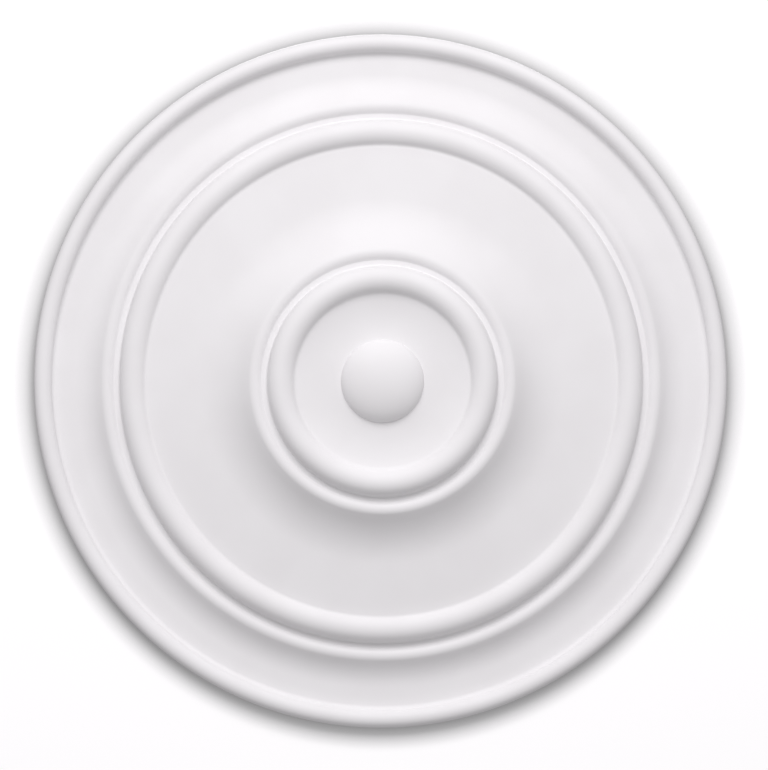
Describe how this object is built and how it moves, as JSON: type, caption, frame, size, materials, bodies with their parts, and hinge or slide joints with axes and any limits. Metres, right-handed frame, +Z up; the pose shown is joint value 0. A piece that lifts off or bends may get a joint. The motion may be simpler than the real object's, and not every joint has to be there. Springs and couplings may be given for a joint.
{
  "type": "ceiling rose",
  "caption": "Round white ceiling rose of plain concentric mouldings, with a shallow saucer and a round boss at its centre, and a flat back with shallow keying grooves.",
  "frame": {"origin": "centre of the flat back, on the plane that meets the ceiling", "axes": "+Z straight up, out of the back and into the ceiling; the moulded face looks down towards -Z; X and Y are alike, because the rose is round"},
  "size_m": [0.4, 0.4, 0.0418],
  "materials": {
    "cast_white": "smooth primed white, soft satin"
  },
  "bodies": {
    "root": {"ceiling_rose": "cast_white"}
  },
  "joints": []
}
